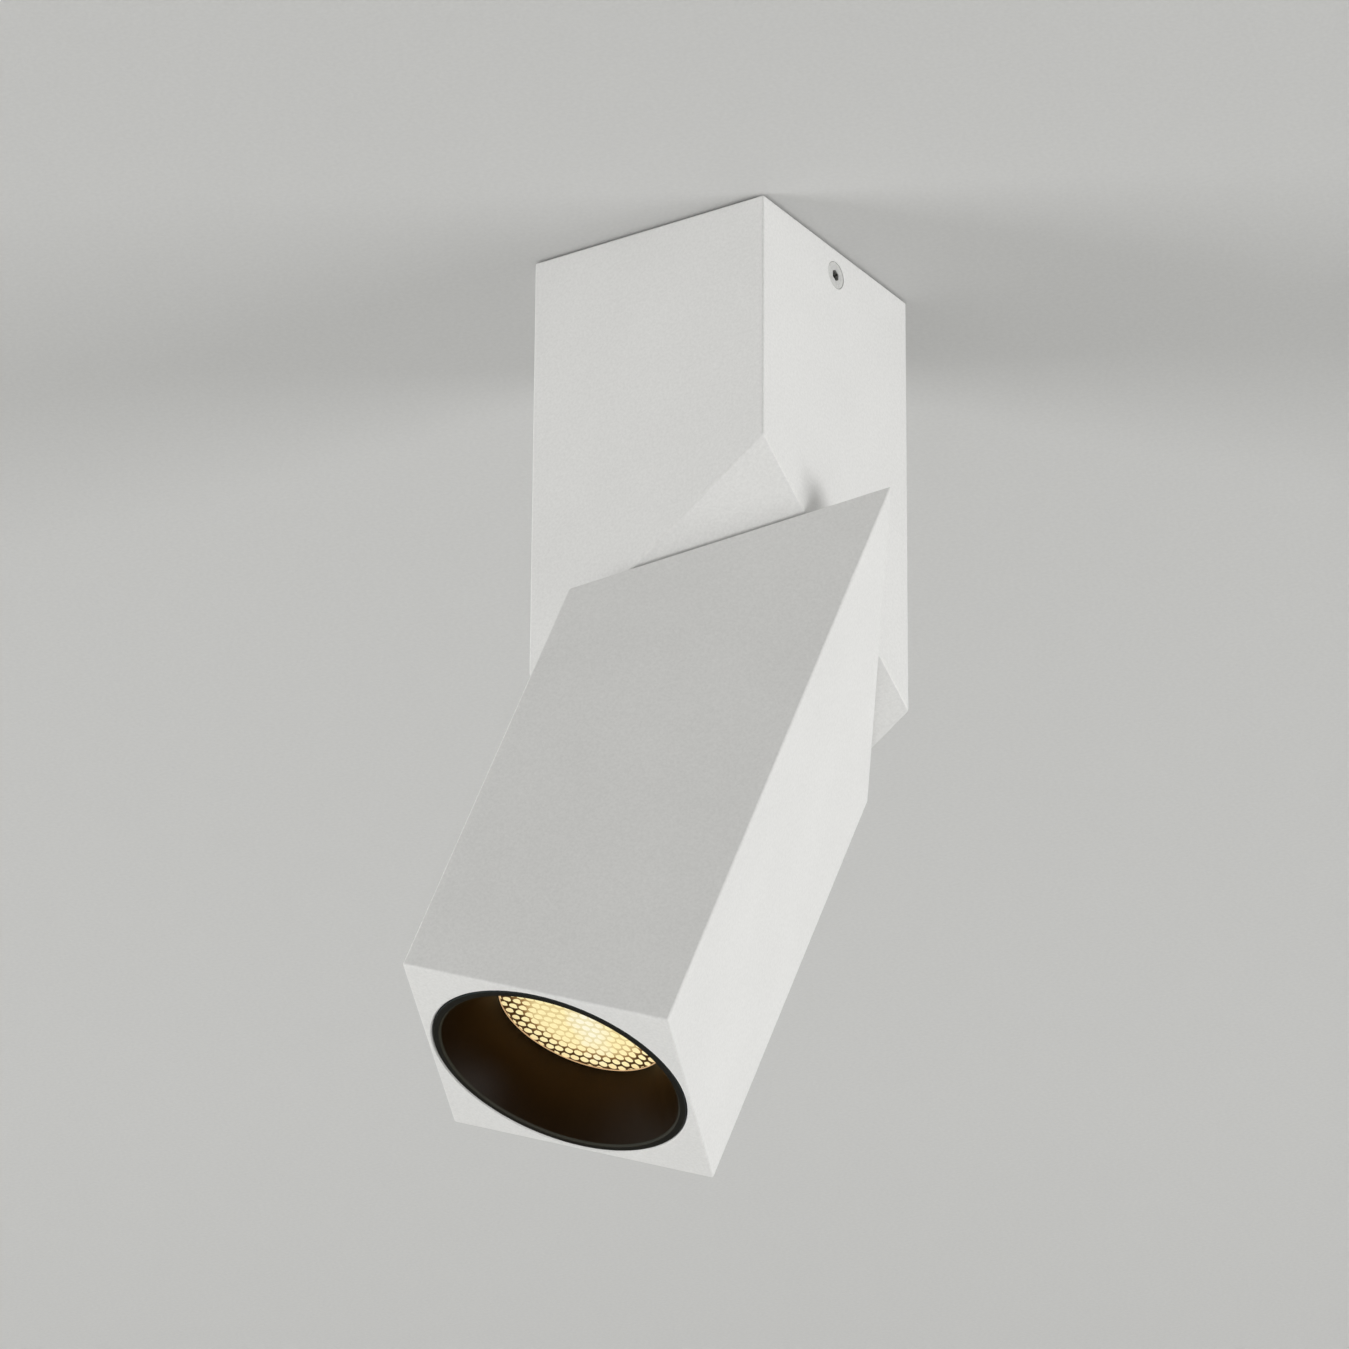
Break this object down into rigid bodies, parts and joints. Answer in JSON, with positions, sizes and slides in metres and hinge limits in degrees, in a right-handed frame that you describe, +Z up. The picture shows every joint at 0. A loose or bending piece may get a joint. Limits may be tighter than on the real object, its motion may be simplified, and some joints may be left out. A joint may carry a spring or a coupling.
{
  "type": "ceiling spotlight",
  "caption": "White square-section surface ceiling spotlight whose lower half swivels on an oblique cut, with a black round anti-glare baffle around a beaded warm-white lens.",
  "frame": {"origin": "centre of the bracket's ceiling face, which is also the centre line of the square upper housing", "axes": "+Z up, out of the ceiling face; +X towards the side face that carries the visible side screw; the light hangs down along -Z"},
  "size_m": [0.1321, 0.1283, 0.2639],
  "materials": {
    "white_coat": "die-cast aluminium with a matte white, finely textured powder coat",
    "baffle_black": "satin black",
    "lens_glow": "clear beaded optic, lit warm white from behind",
    "screw_head": "painted light grey",
    "zinc_steel": "bright zinc plated",
    "screw_steel": "zinc plated",
    "brass": "plain",
    "bare_aluminium": "as cast",
    "can_aluminium": "sleeved can",
    "reflector_metal": "bright reflector",
    "black_rubber": "matte",
    "white_nylon": "moulded",
    "driver_plastic": "moulded",
    "circuit_board": "green solder mask",
    "ferrite": "dark ferrite",
    "wire_sheath": "insulated wire",
    "lead_sheath": "soft sheath",
    "washer_plastic": "low-friction plastic",
    "pad_grey": "soft heat-conducting sheet",
    "phosphor": "yellow silicone"
  },
  "bodies": {
    "ceiling_body": {"ceiling_bracket": "zinc_steel", "driver_bracket": "zinc_steel", "bracket_rivets": "bare_aluminium", "cable_bush": "black_rubber", "terminal_block": "white_nylon", "terminal_screws": "screw_steel", "earth_screw": "brass", "supply_wires": "wire_sheath", "driver_case": "driver_plastic", "driver_cover": "driver_plastic", "driver_board": "circuit_board", "driver_transformer": "ferrite", "driver_capacitors": "can_aluminium", "driver_choke": "ferrite", "driver_screws": "screw_steel", "driver_gland": "black_rubber", "upper_lead": "lead_sheath", "upper_housing": "white_coat", "side_screws": "screw_head", "stop_pin": "screw_steel", "thrust_washer": "zinc_steel"},
    "lamp_head": {"disc_springs": "screw_steel", "pivot_bolt": "zinc_steel", "slip_washer": "washer_plastic", "pivot_washer": "zinc_steel", "pivot_nut": "zinc_steel", "lamp_housing": "white_coat", "heat_sink": "bare_aluminium", "heat_sink_screws": "screw_steel", "lead_grommet": "black_rubber", "lamp_lead": "lead_sheath", "thermal_pad": "pad_grey", "light_board": "bare_aluminium", "emitter": "phosphor", "lamp_holder": "white_nylon", "holder_screws": "screw_steel", "reflector": "reflector_metal", "lens_gasket": "black_rubber", "lens": "lens_glow", "baffle": "baffle_black"}
  },
  "joints": [
    {"name": "beam_swivel", "type": "hinge", "parent": "ceiling_body", "child": "lamp_head", "pos_m": [0, 0, -0.127], "axis": [-0.5, 0.5, 0.7071], "range_deg": [-200, 140]}
  ]
}
